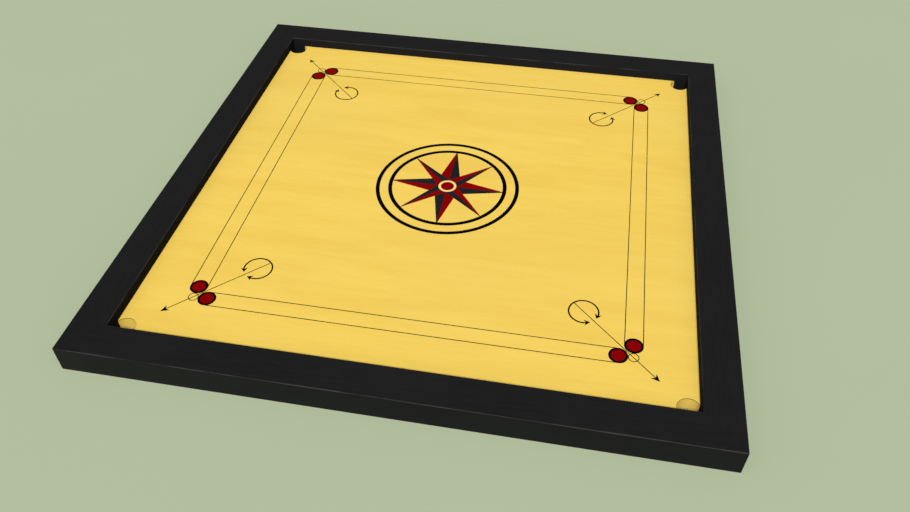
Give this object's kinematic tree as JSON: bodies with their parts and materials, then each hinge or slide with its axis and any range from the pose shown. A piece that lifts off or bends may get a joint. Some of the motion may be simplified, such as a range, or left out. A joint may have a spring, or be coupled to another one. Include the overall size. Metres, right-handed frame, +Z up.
{
  "type": "carrom board",
  "caption": "Square wooden tabletop game board: a recessed yellow playing surface with a printed star, base lines and arrows, corner pockets with nets, and a raised black frame.",
  "frame": {"origin": "middle of the underside, on the surface that the rails rest on", "axes": "+Z up out of the playing surface, +X towards the right rail, -Y towards the front rail"},
  "size_m": [0.836, 0.836, 0.0393],
  "materials": {
    "rail_black": "satin black paint over fine wood grain",
    "spline_wood": "bare hardwood tongue, glued in",
    "panel_wood": "golden lacquered plywood, smooth and slightly glossy",
    "batten_wood": "planed softwood, bare",
    "block_wood": "bare wood, its bore lacquered golden like the panel",
    "net_cotton": "knotted undyed cotton string",
    "screw_steel": "zinc plated steel",
    "tack_brass": "brass plated tack",
    "ink_black": "screen-printed black ink under lacquer",
    "ink_red": "screen-printed deep red ink under lacquer",
    "ink_charcoal": "screen-printed charcoal ink under lacquer",
    "ink_cream": "screen-printed cream ink under lacquer"
  },
  "bodies": {
    "root": {"base_discs_red": "ink_red", "base_lines_black": "ink_black", "batten_cross_back": "batten_wood", "batten_cross_front": "batten_wood", "batten_lengthwise": "batten_wood", "batten_screws": "screw_steel", "block_screws": "screw_steel", "centre_disc_red": "ink_red", "centre_ring_cream": "ink_cream", "centre_ring_inner": "ink_black", "centre_ring_outer": "ink_black", "corner_arrow_back_left": "ink_black", "corner_arrow_back_right": "ink_black", "corner_arrow_front_left": "ink_black", "corner_arrow_front_right": "ink_black", "mitre_spline_back_left": "spline_wood", "mitre_spline_back_right": "spline_wood", "mitre_spline_front_left": "spline_wood", "mitre_spline_front_right": "spline_wood", "net_tacks": "tack_brass", "panel_screws": "screw_steel", "playing_panel": "panel_wood", "pocket_block_back_left": "block_wood", "pocket_block_back_right": "block_wood", "pocket_block_front_left": "block_wood", "pocket_block_front_right": "block_wood", "pocket_net_back_left": "net_cotton", "pocket_net_back_right": "net_cotton", "pocket_net_front_left": "net_cotton", "pocket_net_front_right": "net_cotton", "rail_back": "rail_black", "rail_front": "rail_black", "rail_left": "rail_black", "rail_right": "rail_black", "star_dark_halves": "ink_charcoal", "star_red_halves": "ink_red"}
  },
  "joints": []
}
